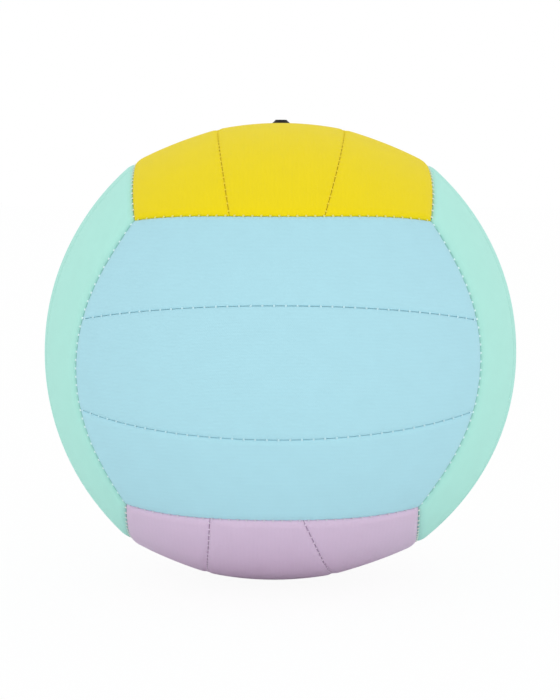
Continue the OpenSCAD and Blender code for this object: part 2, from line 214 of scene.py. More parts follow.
def end_normal(c, seam):
    """Share along the normal at which strips end: bowed out, straight in the middle third, turning in
    beyond it."""
    beyond = np.maximum(np.abs(c) / CORNER - SEAM_SHARE, 0) / (1 - SEAM_SHARE)
    return CORNER * (1 + seam.bow * (1 - beyond**seam.power))


def end_angle(face, t, c):
    """Angle from the middle of a strip to the end that t lies towards, at share c across the face."""
    n = np.where(t < 0, end_normal(c, face.seams.first), end_normal(c, face.seams.last))
    return np.arccos(n / np.sqrt(1 - c * c))


def strip_length(face, c):
    """Length of a face's strips at share c across it."""
    return BASE_R * (end_angle(face, -1, c) + end_angle(face, 1, c))


def strip_half(t):
    """Half the width of the middle strip as a share, wider at the waist than at the ends."""
    return (WAIST_W + (STRIP_END_W - WAIST_W) * t * t) / (2 * BASE_R)


def long_edge(t, seam):
    """Share across the face of its long edge, which is the end of the next face's strips, found in a few
    rounds."""
    c = np.full_like(t, CORNER)
    for _ in range(EDGE_ROUNDS):
        c = end_normal(np.sqrt(1 - c * c) * np.sin(t * math.pi / 4), seam)
    return c


def line_share(face, line, t):
    """Share across the face of one of the four lines that bound its strips, at t from -1 to 1 along them."""
    if line in (0, 3):
        return (-1 if line == 0 else 1) * long_edge(t, face.seams.edge)
    shift = face.shift.share * np.sign(t) * np.abs(t) ** face.shift.power
    return shift + (-1 if line == 1 else 1) * strip_half(t)


def on_face(face, n, a, c):
    """n along the face's normal, a along its strips and c across them, as vectors."""
    return (
        n[..., None] * np.array(face.normal)
        + a[..., None] * np.array(face.along)
        + c[..., None] * np.array(face.across)
    )


def face_direction(face, t, c):
    """A direction on a face, at t along its strips and share c across them."""
    r = np.sqrt(1 - c * c)
    angle = t * end_angle(face, t, c)
    return on_face(face, r * np.cos(angle), r * np.sin(angle), c)


def end_direction(face, side, s):
    """The seam at one end of a face's strips, for s from -1 to 1 across the face."""
    c = s * CORNER
    n = end_normal(c, face.seams.first if side < 0 else face.seams.last)
    return on_face(face, n, side * np.sqrt(1 - n * n - c * c), c)


def ridge(along, across):
    """How far the surface stands out at shares along and across a face, which are 1 at its edges."""
    return EDGE_RISE * (1 - (1 - np.abs(along) ** ALONG_POWER) * (1 - np.abs(across) ** ACROSS_POWER))


def ball_point(direction, flat, depth):
    """The point in a direction, sunk by flat and then by depth. The ball is turned about Z in step with its
    height, leans to the left below its middle, and is a little less high than wide."""
    u = direction / np.linalg.norm(direction, axis=-1, keepdims=True)
    p = (BASE_R - flat)[..., None] * u
    turn = SEWN_TWIST * u[..., 2]
    lean = BOTTOM_LEAN * np.maximum(-u[..., 2], 0) ** LEAN_POWER
    x = p[..., 0] * np.cos(turn) - p[..., 1] * np.sin(turn) - lean
    y = p[..., 0] * np.sin(turn) + p[..., 1] * np.cos(turn)
    q = np.stack([x, y, p[..., 2] * BALL_H / BALL_W], -1)
    return q * (1 - depth / np.linalg.norm(q, axis=-1))[..., None]


# Stitches along a seam


def strip_stitches(face, line):
    """Number of stitches in a seam between two strips of a face."""
    middle = line_share(face, line, np.zeros(1))[0]
    return round(strip_length(face, middle) / STRIP_SEWING[face.colour].pitch)


END_STITCHES = round(2 * (BASE_R + EDGE_RISE) * math.asin(CORNER) / EDGE_SEWING.pitch)


def pull(phase, pitch, reach, seed):
    """How hard the nearest stitch pulls, 1 at a stitch and 0 away from it, a little unlike from stitch to
    stitch. phase counts stitches along the seam, and a stitch sits at the middle of each whole step."""
    number = np.floor(phase)
    away = (phase - number - 0.5) * pitch
    unlike = np.sin(number * SCATTER_STEP + seed * SCATTER_SEED) * SCATTER_SCALE
    return (PULL_LEAST + PULL_SPREAD * (unlike - np.floor(unlike))) * np.exp(-((away / reach) ** 2))


def gap_half(phase, sewing, wide, seed):
    """Half the gap of a seam: drawn shut for a short way on both sides of each stitch, and open between
    two."""
    shut = np.minimum(PINCH_HOLD * pull(phase, sewing.pitch, sewing.pinch, seed), 1)
    return wide - (wide - GAP_PINCHED) * shut


def edge_gap(face, way):
    """Half the open gap at a face's edge towards the face whose normal is given."""
    other = next(f for f in FACES if tuple(f.normal) == tuple(way))
    return EDGE_GAP_OPEN[" ".join(sorted((face.colour, other.colour)))]


# Sheets and shells


# The points of a layer's edge, one value each, and the rows of a grid between two edges
Edge = namedtuple("Edge", "follow offset depth shade")
Rows = namedtuple("Rows", "share low high shift depth shade")


def edge_profile(inside, roll, roll_shade=0.0):
    """The edge of a layer at a distance inside the cover's outer face, from the hem's end to the shoulder:
    how much of the seam's gap each point follows, its offset from the gap, its depth, and how dark it lies,
    0 outside and 1 in the hem. The roll is a quarter of an ellipse, and roll_shade is the shade at its
    foot. The gap closes a little below it, where the covers are sewn together."""
    turn = np.radians(np.linspace(0, 90, ROLL_STEPS))
    roll_x = inside + (roll.width - inside) * (1 - np.cos(turn))
    roll_depth = inside + (roll.depth - min(inside, roll.depth - ROLL_LEAST)) * (1 - np.sin(turn))
    sewn = roll_depth[0] + SEWN_DEPTH
    mouth = HEM_MOUTH_GAP + inside
    follow = np.concatenate([[0, 0, HEM_FOLLOW_SHARE], np.ones(len(turn))])
    offset = np.concatenate([[HEM_GAP + inside, mouth, mouth], roll_x])
    depth = np.concatenate([[HEM_DEPTH, sewn, sewn - SEWN_DEPTH / 2], roll_depth])
    hem_shade = np.clip((depth - roll.depth) / HEM_SHADE_DEPTH, 0, 1)
    shade = np.maximum(hem_shade, roll_shade * np.minimum(depth / roll.depth, 1))
    return Edge(follow, offset, depth, shade)


def strip_rolls(strip):
    """The rolls at the two long seams of a strip. The outer strips end at an edge between two faces."""
    return EDGE_ROLL if strip == 0 else STRIP_ROLL, EDGE_ROLL if strip == 2 else STRIP_ROLL


def grid_rows(low, high, count):
    """Rows of a grid from one seam to the other: the edge profile of the low seam, count steps between the
    shoulders, and the profile of the high seam. A row's place is its share of the way, plus the gaps of the
    two seams by low and high, plus its shift."""
    f = np.arange(1, count) / count
    zeros = np.zeros(len(low.follow))
    return Rows(
        np.concatenate([zeros, f, zeros + 1]),
        np.concatenate([low.follow, (1 - f) ** GAP_FADE_POWER, zeros]),
        np.concatenate([zeros, f**GAP_FADE_POWER, high.follow[::-1]]),
        np.concatenate([low.offset, low.offset[-1] * (1 - f) - high.offset[-1] * f, -high.offset[::-1]]),
        np.concatenate([low.depth, low.depth[-1] + 0 * f, high.depth[::-1]]),
        np.concatenate([low.shade, 0 * f, high.shade[::-1]]),
    )


def panel_sheet(face, strip, along, across, puckers=1.0):
    """One side of a panel layer as a grid of points, and each point's place on the cloth and its shade.
    Each row lies at its own distance from the seams, whose gaps close at the stitches, and the cloth sinks
    round each stitch by a bell-shaped pucker that fades away from the seam."""
    c_mid = (line_share(face, strip, np.zeros(1)) + line_share(face, strip + 1, np.zeros(1))) / 2
    half_len = strip_length(face, c_mid)[0] / 2
    seed = FACES.index(face) * len(STRIPS) + strip

    t = 2 * along.share - 1 + along.shift / half_len
    low, high = line_share(face, strip, t), line_share(face, strip + 1, t)
    width = BASE_R * (np.arcsin(high) - np.arcsin(low))

    def line_stitches(line, share):
        """Stitches counted along one of the strip's two long seams, their sewing, and half the seam's open
        gap."""
        if line in (0, 3):
            a = np.sqrt(1 - share**2) * np.sin(t * end_angle(face, t, share))
            way = (-1 if line == 0 else 1) * np.array(face.across)
            return (a / CORNER + 1) / 2 * END_STITCHES, EDGE_SEWING, edge_gap(face, way)
        phase = (t + 1) / 2 * strip_stitches(face, line)
        return phase, STRIP_SEWING[face.colour], STRIP_GAP_OPEN[face.colour]

    low_phase, low_sewing, low_wide = line_stitches(strip, low)
    high_phase, high_sewing, high_wide = line_stitches(strip + 1, high)
    low_gap = gap_half(low_phase, low_sewing, low_wide, seed)
    high_gap = gap_half(high_phase, high_sewing, high_wide, seed + 1)
    moved = across.low * low_gap[:, None] - across.high * high_gap[:, None] + across.shift
    v = across.share + moved / width[:, None]

    # Both ends take the open gap of the end that the strips run towards
    c = low[:, None] + (high - low)[:, None] * v
    end_phase = (c / CORNER + 1) / 2 * END_STITCHES
    end_gap = gap_half(end_phase, EDGE_SEWING, edge_gap(face, face.along), seed + 2)
    t = t[:, None] + (along.low[:, None] - along.high[:, None]) * end_gap / half_len
    low, high = line_share(face, strip, t), line_share(face, strip + 1, t)
    c = low + (high - low) * v

    depth = (across.depth**CORNER_POWER + along.depth[:, None] ** CORNER_POWER) ** (1 / CORNER_POWER)
    span = width[:, None]
    for phase, pitch, distance in (
        (low_phase[:, None], low_sewing.pitch, v * span),
        (high_phase[:, None], high_sewing.pitch, (1 - v) * span),
        (end_phase, EDGE_SEWING.pitch, (1 + t) * half_len),
        (end_phase, EDGE_SEWING.pitch, (1 - t) * half_len),
    ):
        near = np.exp(-((distance / PUCKER_ACROSS) ** 2))
        depth = depth + puckers * PUCKER_DEPTH * near * pull(phase, pitch, PUCKER_ALONG, seed)

    strip_flat = MIDDLE_FLAT if strip == 1 else SIDE_FLAT
    flat = strip_flat * 4 * v * (1 - v) * (1 - t**FLAT_POWER) - ridge(t, c / long_edge(t, face.seams.edge))
    points = ball_point(face_direction(face, t, c), flat, depth)
    shade = np.maximum(along.shade[:, None], across.shade)
    return points, np.stack([t * half_len, BASE_R * np.arcsin(c), shade], -1)


def grid_quads(rows, columns, first=0, flip=False):
    """Quads of a grid of points, as indices."""
    i, j = np.meshgrid(np.arange(rows - 1), np.arange(columns - 1), indexing="ij")
    a = (first + i * columns + j).ravel()
    quads = np.stack([a, a + 1, a + columns + 1, a + columns], 1)
    return quads[:, ::-1] if flip else quads


def rim_sides(rows, columns, first=0):
    """The four sides of a grid's rim as indices, end to end, each with both its corners."""
    number = first + np.arange(rows * columns).reshape(rows, columns)
    return number[0], number[:, -1], number[-1, ::-1], number[::-1, 0]


def zip_sides(points, side, other):
    """Triangles between two sides with different numbers of points, going on from the one that lags
    behind."""

    def shares(line):
        """How far along the line each point lies, from 0 to 1."""
        steps = np.linalg.norm(np.diff(points[line], axis=0), axis=1)
        return np.append(np.insert(np.cumsum(steps) / steps.sum(), 0, 0), 2).tolist()

    at, other_at = shares(side), shares(other)
    i = j = 0
    triangles = []
    while i < len(side) - 1 or j < len(other) - 1:
        if at[i + 1] <= other_at[j + 1]:
            triangles.append((side[i + 1], side[i], other[j]))
            i += 1
        else:
            triangles.append((side[i], other[j], other[j + 1]))
            j += 1
    return np.array(triangles)


def shell_mesh(name, outer, inner, cloth=None, sides=4):
    """A closed shell between two grids of points: both sheets, and walls along the sides of their rims.
    cloth gives a cover its UV map and the attribute hem_shade, 0 outside and 1 in the hem."""
    points = np.concatenate([outer.reshape(-1, 3), inner.reshape(-1, 3)])
    first = outer.shape[0] * outer.shape[1]
    rims = list(zip(rim_sides(*outer.shape[:2]), rim_sides(*inner.shape[:2], first)))[:sides]
    quads = np.concatenate([grid_quads(*outer.shape[:2]), grid_quads(*inner.shape[:2], first, flip=True)])
    walls = np.concatenate([zip_sides(points, side, other) for side, other in rims])
    piece = piece_from(name, points, quads.tolist() + walls.tolist())
    if cloth is not None:
        corners = np.concatenate([quads.ravel(), walls.ravel()])
        uv = piece.data.uv_layers.new(name="cloth")
        uv.data.foreach_set("uv", (cloth[corners, :2] * MM).astype(np.float32).ravel())
        hem = piece.data.attributes.new("hem_shade", "FLOAT", "POINT")
        hem.data.foreach_set("value", cloth[:, 2].astype(np.float32))
    return piece


def piece_from(name, points, faces):
    """A new smooth piece from points in millimetres and faces, riding on the ball."""
    mesh = bpy.data.meshes.new(name)
    mesh.from_pydata((points * MM).tolist(), [], faces)
    mesh.shade_smooth()
    mesh.update()
    piece = bpy.data.objects.new(name, mesh)
    bpy.context.scene.collection.objects.link(piece)
    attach(piece, BODY)
    return piece


# The pieces

COVER_ALONG_STEPS = 260
COVER_ACROSS_STEPS = 64
LINING_ALONG_STEPS = 60
LINING_ACROSS_STEPS = 20
PAD_ALONG_STEPS = 24
PAD_ACROSS_STEPS = 10


def cover_piece(face, strip):
    """A knitted cover: a fine outer and a coarse inner sheet, rolled over at each seam down to the hems'
    ends."""
    sheets = []
    for inside, along_steps, across_steps in (
        (0, COVER_ALONG_STEPS, COVER_ACROSS_STEPS),
        (COVER_T, LINING_ALONG_STEPS, LINING_ACROSS_STEPS),
    ):
        end = edge_profile(inside, EDGE_ROLL, ROLL_SHADE[face.colour])
        low, high = (edge_profile(inside, roll, ROLL_SHADE[face.colour]) for roll in strip_rolls(strip))
        along, across = grid_rows(end, end, along_steps), grid_rows(low, high, across_steps)
        sheets.append(panel_sheet(face, strip, along, across))
    cloth = np.concatenate([place.reshape(-1, 3) for _, place in sheets])
    name = f"{face.name}_{face.strips[strip]}"
    cover = shell_mesh(name + "_knit", sheets[0][0], sheets[1][0], cloth)
    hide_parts(name + "_cover")
    return cover


def pad_piece(face, strip):
    """A foam pad that fills a cover between its hems: crowned outside, with drawn-in sides."""
    inside = COVER_T + GLUE_T
    rolled = slice(HEM_POINTS, None, 2)

    def profile(roll, back):
        """The pad's edge at a roll, on its outer side or on its back: every second point of the roll
        alone."""
        _, offset, depth, shade = edge_profile(inside, roll)
        follow = np.ones(len(offset[rolled]))
        if back:
            offset = np.linspace(offset[HEM_POINTS], offset[-1], len(follow))
            return Edge(follow, offset + HEM_GAP, follow * (inside + PAD_T), 0 * follow)
        return Edge(follow, offset[rolled] + HEM_GAP, depth[rolled], shade[rolled])

    sheets = []
    for back in (False, True):
        end = profile(EDGE_ROLL, back)
        low, high = (profile(roll, back) for roll in strip_rolls(strip))
        along, across = grid_rows(end, end, PAD_ALONG_STEPS), grid_rows(low, high, PAD_ACROSS_STEPS)
        sheets.append(panel_sheet(face, strip, along, across, puckers=0)[0])
    name = f"{face.name}_{face.strips[strip]}"
    pad = shell_mesh(name + "_foam", sheets[0], sheets[1])
    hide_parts(name + "_pad")
    return pad


THREAD_SIDES = 5
THREAD_STEPS = 6


def stitch_tubes(seam_point, count, depth):
    """The stitches of one seam, each of two strands of thread side by side, as tubes of (tube, step, side)
    points. A strand rises out of one cover, crosses the seam at a depth and dips into the other. seam_point
    gives the points of the seam for s from -1 to 1."""
    s = -1 + (np.arange(count) + 0.5) * 2 / count
    here, before, after = seam_point(s), seam_point(s - 0.5 / count), seam_point(s + 0.5 / count)
    run = (after - before) / np.linalg.norm(after - before, axis=-1, keepdims=True)
    up = here / np.linalg.norm(here, axis=-1, keepdims=True)
    over = np.cross(up, run)
    a = np.linspace(-1, 1, THREAD_STEPS)
    turn = np.arange(THREAD_SIDES) * 2 * math.pi / THREAD_SIDES
    radius = THREAD_D / 2 * np.sqrt(np.clip(1 + TIP_LEFT - a**TIP_POWER, 0, 1))
    ring = np.cos(turn)[:, None] * up[:, None, None] + np.sin(turn)[:, None] * run[:, None, None]
    strands = []
    for beside in (-THREAD_APART / 2, THREAD_APART / 2):
        middle = (
            (here + beside * run)[:, None]
            + a[None, :, None] * STITCH_HALF_LEN * over[:, None]
            - (depth + STITCH_DIP * a**2)[None, :, None] * up[:, None]
        )
        strands.append(middle[:, :, None] + radius[None, :, None, None] * ring)
    return np.concatenate(strands)


def thread_piece(name, seams):
    """The stitches of a face's seams as one piece. seams lists a function of s, a number of stitches and a
    depth."""
    tubes = np.concatenate([stitch_tubes(*seam) for seam in seams])
    size = THREAD_STEPS * THREAD_SIDES
    i, j = np.meshgrid(np.arange(THREAD_STEPS - 1), np.arange(THREAD_SIDES), indexing="ij")
    next_j = (j + 1) % THREAD_SIDES
    one = np.stack([
        i * THREAD_SIDES + j,
        i * THREAD_SIDES + next_j,
        (i + 1) * THREAD_SIDES + next_j,
        (i + 1) * THREAD_SIDES + j,
    ], -1).reshape(-1, 4)
    first = np.arange(len(tubes)) * size
    quads = (first[:, None, None] + one).reshape(-1, 4).tolist()
    low = (first[:, None] + np.arange(THREAD_SIDES)[::-1]).tolist()
    high = (first[:, None] + size - THREAD_SIDES + np.arange(THREAD_SIDES)).tolist()
    thread = piece_from(name + "_stitches", tubes.reshape(-1, 3), quads + low + high)
    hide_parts(name)
    return thread


def strip_seam(face, line):
    """The seam between two strips of a face, as a function of t along it."""

    def point(t):
        c = line_share(face, line, t)
        return ball_point(face_direction(face, t, c), -ridge(t, c / long_edge(t, face.seams.edge)), 0 * t)

    return point


def end_seam(face, side):
    """The seam at one end of a face's strips, as a function of s across the face."""
    return lambda s: ball_point(end_direction(face, side, s), -EDGE_RISE + 0 * s, 0 * s)


def lathe(name, profile, steps=96):
    """A closed outline of (distance from the axis, height), turned about the ball's Z axis."""
    outline = np.array(profile, float)
    turn = np.arange(steps) * 2 * math.pi / steps
    points = np.stack([
        outline[:, None, 0] * np.cos(turn),
        outline[:, None, 0] * np.sin(turn),
        outline[:, None, 1] + 0 * turn,
    ], -1)
    count = len(outline)
    i, j = np.meshgrid(np.arange(count), np.arange(steps), indexing="ij")
    next_i, next_j = (i + 1) % count, (j + 1) % steps
    corners = (i * steps + j, next_i * steps + j, next_i * steps + next_j, i * steps + next_j)
    quads = np.stack(corners, -1).reshape(-1, 4).tolist()
    piece = piece_from(name, points.reshape(-1, 3), quads)
    close_poles(piece)
    return piece


MERGE_DIST_M = 1e-6
FLAT_DIST_M = 1e-7


def close_poles(piece):
    """Merges the points that lie on each other and turns all faces outwards."""
    work = bmesh.new()
    work.from_mesh(piece.data)
    bmesh.ops.remove_doubles(work, verts=work.verts, dist=MERGE_DIST_M)
    bmesh.ops.dissolve_degenerate(work, edges=work.edges, dist=FLAT_DIST_M)
    bmesh.ops.recalc_face_normals(work, faces=work.faces)
    work.to_mesh(piece.data)
    work.free()
    piece.data.shade_smooth()


CASING_T = max(COVER_T + GLUE_T + PAD_T, HEM_DEPTH)
BLADDER_FLAT = max(MIDDLE_FLAT, SIDE_FLAT)
BLADDER_DEPTH = CASING_T + BLADDER_GAP
BOOT_D = PLUG_D + 2 * (BOOT_WALL + VALVE_CLEAR)
BOOT_HOLE_D = BOOT_D + 2 * VALVE_CLEAR
BOOT_TOP = BALL_H / 2 - COVER_T - MOUTH_GAP
HEAD_TOP = BALL_H / 2 + HEAD_RISE
HEAD_HOLE_D = HEAD_D + 2 * VALVE_CLEAR


def dome_z(x, outside):
    """Height of a dome that follows the top of the bladder at a distance outside it."""
    r = BASE_R - BLADDER_FLAT
    a = r - BLADDER_DEPTH + outside
    c = r * BALL_H / BALL_W - BLADDER_DEPTH + outside
    return c * np.sqrt(1 - (x / a) ** 2)


def dome_section(inner_x, outer_x, low, high, steps=10):
    """Outline of a curved ring between two distances outside the bladder."""
    x = np.linspace(inner_x, outer_x, steps)
    return list(zip(x, dome_z(x, low))) + list(zip(x[::-1], dome_z(x[::-1], high)))


def bladder_piece(rows=60, columns=120):
    """The bladder: a thin bag that follows the casing, swelling a little into its edges, with a hole for
    the boot."""
    first = math.asin(BOOT_HOLE_D / 2 / (BASE_R - BLADDER_DEPTH))
    tilt = np.linspace(first, math.pi, rows)[:, None]
    heading = np.linspace(0, 2 * math.pi, columns + 1)
    out = np.sin(tilt)
    u = np.stack([out * np.cos(heading), out * np.sin(heading), np.cos(tilt) + 0 * heading], -1)
    shares = np.sort(np.abs(u), axis=-1)
    swell = SWELL_SHARE * EDGE_RISE * (shares[..., 1] / shares[..., 2]) ** SWELL_POWER
    depths = (BLADDER_DEPTH, BLADDER_DEPTH + BLADDER_T)
    sheets = [ball_point(u, BLADDER_FLAT - swell, depth + 0 * swell) for depth in depths]
    bag = shell_mesh("bladder_bag", sheets[0], sheets[1], sides=1)
    close_poles(bag)
    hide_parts("bladder")
    return bag


def boot_piece():
    """The boot: a barrel with a flange that is bonded under the bladder, and an air hole in its floor."""
    top = -BLADDER_T - BOND_T
    bottom = BOOT_TOP - PLUG_LEN - VALVE_CLEAR - BOOT_FLOOR_T
    bore, outside = PLUG_D / 2 + VALVE_CLEAR, BOOT_D / 2
    flange = dome_section(outside, FLANGE_D / 2, top - FLANGE_T, top)
    boot = lathe("valve_boot_rubber", [
        (AIR_HOLE_D / 2, bottom),
        (outside - BOOT_LIP, bottom),
        (outside, bottom + BOOT_LIP),
        *flange,
        (outside, BOOT_TOP - BOOT_LIP),
        (outside - BOOT_LIP, BOOT_TOP),
        (bore + BOOT_LIP, BOOT_TOP),
        (bore, BOOT_TOP - BOOT_LIP),
        (bore, bottom + BOOT_FLOOR_T),
        (AIR_HOLE_D / 2, bottom + BOOT_FLOOR_T),
    ])
    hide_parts("valve_boot")
    return boot


SHOULDER_STEPS = 9
DIMPLE_STEPS = 7


def plug_piece():
    """The valve plug: a barrel with a round-shouldered head, a dimple in its top and the needle hole."""
    shoulder = (HEAD_D - HEAD_TOP_D) / 2
    edge = BALL_H / 2 + (HEAD_RISE - shoulder) / 2
    turn = np.radians(np.linspace(0, 90, SHOULDER_STEPS))
    slope = 2 / HEAD_SHOULDER_POWER
    head = list(zip(
        HEAD_TOP_D / 2 + shoulder * np.cos(turn) ** slope,
        edge + (HEAD_TOP - edge) * np.sin(turn) ** slope,
    ))
    sink = np.linspace(0, 1, DIMPLE_STEPS)
    dimple = list(zip(
        DIMPLE_D / 2 - (DIMPLE_D - NEEDLE_D) / 2 * sink,
        HEAD_TOP - DIMPLE_DEPTH * np.sin(sink * math.pi / 2),
    ))
    bottom = BOOT_TOP - PLUG_LEN
    needle_bottom = HEAD_TOP - DIMPLE_DEPTH - NEEDLE_DEPTH
    plug = lathe("valve_plug_rubber", [
        (0, bottom),
        (PLUG_D / 2 - PLUG_CHAMFER, bottom),
        (PLUG_D / 2, bottom + PLUG_CHAMFER),
        (PLUG_D / 2, BOOT_TOP),
        (HEAD_D / 2, BOOT_TOP),
        *head,
        *dimple,
        (NEEDLE_D / 2, needle_bottom),
        (0, needle_bottom),
    ])
    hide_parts("valve_plug")
    return plug


def ring_piece():
    """The ring of cotton tape round the hole in the casing."""
    section = dome_section(BOOT_HOLE_D / 2, PATCH_D / 2, PATCH_GAP, PATCH_GAP + PATCH_T)
    ring = lathe("valve_ring_tape", section)
    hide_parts("valve_ring")
    return ring


def cut_hole(piece, diameter, steps=64):
    """Cuts a round hole for the valve through the top of a piece, and keeps the result as its mesh."""
    bpy.ops.mesh.primitive_cylinder_add(
        vertices=steps, radius=diameter / 2 * MM, depth=BALL_H / 3 * MM, location=(0, 0, BALL_H / 2 * MM)
    )
    cutter = bpy.context.object
    cut = piece.modifiers.new("valve hole", "BOOLEAN")
    cut.operation, cut.solver, cut.object = "DIFFERENCE", "EXACT", cutter
    done = bpy.data.meshes.new_from_object(piece.evaluated_get(bpy.context.evaluated_depsgraph_get()))
    piece.modifiers.clear()
    piece.data = done
    bpy.data.objects.remove(cutter)


# Materials


def new_material(name, colour, roughness, specular):
    """A material with one Principled BSDF. Values that are the same all over are set on its sockets."""
    material = bpy.data.materials.new(name)
    material.use_nodes = True
    material.diffuse_color = (*colour, 1)
    shader = material.node_tree.nodes["Principled BSDF"]
    shader.inputs["Base Color"].default_value = (*colour, 1)
    shader.inputs["Roughness"].default_value = roughness
    shader.inputs["Specular IOR Level"].default_value = specular
    return material, material.node_tree, shader


# The curve of the display: a straight foot, and a power above it
FULL = 255
FOOT = 0.04045
FOOT_SLOPE = 12.92
CURVE_OFFSET = 0.055
CURVE_POWER = 2.4


def linear(red, green, blue):
    """A colour as it is seen, from 0 to 255, in linear light."""
    seen = np.array([red, green, blue]) / FULL
    curve = ((seen + CURVE_OFFSET) / (1 + CURVE_OFFSET)) ** CURVE_POWER
    return tuple(float(x) for x in np.where(seen <= FOOT, seen / FOOT_SLOPE, curve))


def group_tree(name, inputs, outputs):
    """An empty shader node group with named inputs and outputs."""
    tree = bpy.data.node_groups.new(name, "ShaderNodeTree")
    for socket, kind in inputs:
        tree.interface.new_socket(socket, in_out="INPUT", socket_type=kind)
    for socket, kind in outputs:
        tree.interface.new_socket(socket, in_out="OUTPUT", socket_type=kind)
    return tree, tree.nodes.new("NodeGroupInput"), tree.nodes.new("NodeGroupOutput")


def math_node(tree, operation, *values):
    """A Math node whose inputs are numbers or sockets."""
    node = tree.nodes.new("ShaderNodeMath")
    node.operation = operation
    for socket, value in zip(node.inputs, values):
        if isinstance(value, (int, float)):
            socket.default_value = value
        else:
            tree.links.new(value, socket)
    return node.outputs[0]


def times(tree, value, factor):
    """A value times a factor."""
    return math_node(tree, "MULTIPLY", value, factor)


def plus(tree, value, other):
    """The sum of two values."""
    return math_node(tree, "ADD", value, other)


# The knit: the size of a loop in metres, and what each pattern adds to its relief, shade and roughness
LOOP_W_M = 0.0008
COURSE_W_M = 0.0006
COURSE_RELIEF = 0.6
COLUMN_RELIEF = 0.4
RIB_RELIEF = 0.15
UNEVEN_RELIEF = 1.2
LOOP_TINT = 0.014
RIB_TINT = 0.004
UNEVEN_TINT = 0.05
UNEVEN_ROUGHNESS = 0.2
KNIT_ROUGHNESS = 0.82
KNIT_RELIEF_M = 0.00004
RIB_COURSES = 3
CLOUD_SCALE = 90
CLOUD_DETAIL = 3


def jersey_group():
    """Fine knitted jersey: loops in columns and courses, faint ribs along the strip, and soft unevenness.
    Takes the cloth's own coordinates in metres and gives a height, a shade and a roughness."""
    tree, given, result = group_tree(
        "jersey knit",
        [("Cloth", "NodeSocketVector"), ("Loop", "NodeSocketFloat"), ("Course", "NodeSocketFloat")],
        [("Height", "NodeSocketFloat"), ("Shade", "NodeSocketFloat"), ("Roughness", "NodeSocketFloat")],
    )
    parts = tree.nodes.new("ShaderNodeSeparateXYZ")
    tree.links.new(given.outputs["Cloth"], parts.inputs[0])
    along = math_node(tree, "DIVIDE", parts.outputs["X"], given.outputs["Loop"])
    across = math_node(tree, "DIVIDE", parts.outputs["Y"], given.outputs["Course"])
    # A loop leans one way in its left half and the other way in its right half, like a row of Vs
    lean = math_node(tree, "ABSOLUTE", math_node(tree, "SUBTRACT", math_node(tree, "FRACT", along), 0.5))
    course = math_node(tree, "SINE", times(tree, plus(tree, across, lean), 2 * math.pi))
    column = math_node(tree, "COSINE", times(tree, along, 4 * math.pi))
    loops = plus(tree, times(tree, course, COURSE_RELIEF), times(tree, column, COLUMN_RELIEF))
    rib = math_node(tree, "SINE", times(tree, across, 2 * math.pi / RIB_COURSES))
    cloud = tree.nodes.new("ShaderNodeTexNoise")
    cloud.inputs["Scale"].default_value = CLOUD_SCALE
    cloud.inputs["Detail"].default_value = CLOUD_DETAIL
    tree.links.new(given.outputs["Cloth"], cloud.inputs["Vector"])
    uneven = math_node(tree, "SUBTRACT", cloud.outputs["Fac"], 0.5)
    height = plus(tree, loops, times(tree, rib, RIB_RELIEF))
    height = plus(tree, height, times(tree, uneven, UNEVEN_RELIEF))
    shade = plus(tree, times(tree, loops, LOOP_TINT), times(tree, rib, RIB_TINT))
    shade = plus(tree, plus(tree, shade, times(tree, uneven, UNEVEN_TINT)), 1)
    rough = plus(tree, times(tree, uneven, UNEVEN_ROUGHNESS), KNIT_ROUGHNESS)
    for socket, value in (("Height", height), ("Shade", shade), ("Roughness", rough)):
        tree.links.new(value, result.inputs[socket])
    return tree


JERSEY = jersey_group()


def scaled_colour(tree, colour, shade):
    """The colour times a shade that changes over the surface."""
    mix = tree.nodes.new("ShaderNodeVectorMath")
    mix.operation = "SCALE"
    mix.inputs[0].default_value = colour
    tree.links.new(shade, mix.inputs["Scale"])
    return mix.outputs[0]


def bump(tree, shader, height, distance):
    """Feeds a height to the shader's normal. distance is the real height of the relief in metres."""
    node = tree.nodes.new("ShaderNodeBump")
    node.inputs["Distance"].default_value = distance
    tree.links.new(height, node.inputs["Height"])
    tree.links.new(node.outputs[0], shader.inputs["Normal"])


def jersey_material(name, colour):
    """Knitted cover cloth of one colour, matt with a faint bloom."""
    material, tree, shader = new_material(name, colour, roughness=0.85, specular=0.12)
    shader.inputs["Sheen Weight"].default_value = 0.08
    shader.inputs["Sheen Roughness"].default_value = 0.5
    cloth = tree.nodes.new("ShaderNodeUVMap")
    cloth.uv_map = "cloth"
    knit = tree.nodes.new("ShaderNodeGroup")
    knit.node_tree = JERSEY
    knit.inputs["Loop"].default_value = LOOP_W_M
    knit.inputs["Course"].default_value = COURSE_W_M
    tree.links.new(cloth.outputs[0], knit.inputs["Cloth"])
    # Painted shade: the colour darkens down into the hems and at the foot of the rolls, where the seams lie
    # in shade
    hem = tree.nodes.new("ShaderNodeAttribute")
    hem.attribute_name = "hem_shade"
    light = math_node(tree, "SUBTRACT", 1, times(tree, hem.outputs["Fac"], HEM_SHADE))
    shade = times(tree, knit.outputs["Shade"], light)
    tree.links.new(scaled_colour(tree, colour, shade), shader.inputs["Base Color"])
    tree.links.new(knit.outputs["Roughness"], shader.inputs["Roughness"])
    bump(tree, shader, knit.outputs["Height"], KNIT_RELIEF_M)
    return material


GRAIN_DETAIL = 2.0
GRAIN_ROUGHNESS = 0.2


def noise(tree, scale):
    """Noise on the piece's Object coordinates, with scale in waves a metre."""
    place = tree.nodes.new("ShaderNodeTexCoord")
    node = tree.nodes.new("ShaderNodeTexNoise")
    node.inputs["Scale"].default_value = scale
    node.inputs["Detail"].default_value = GRAIN_DETAIL
    tree.links.new(place.outputs["Object"], node.inputs["Vector"])
    return node.outputs["Fac"]


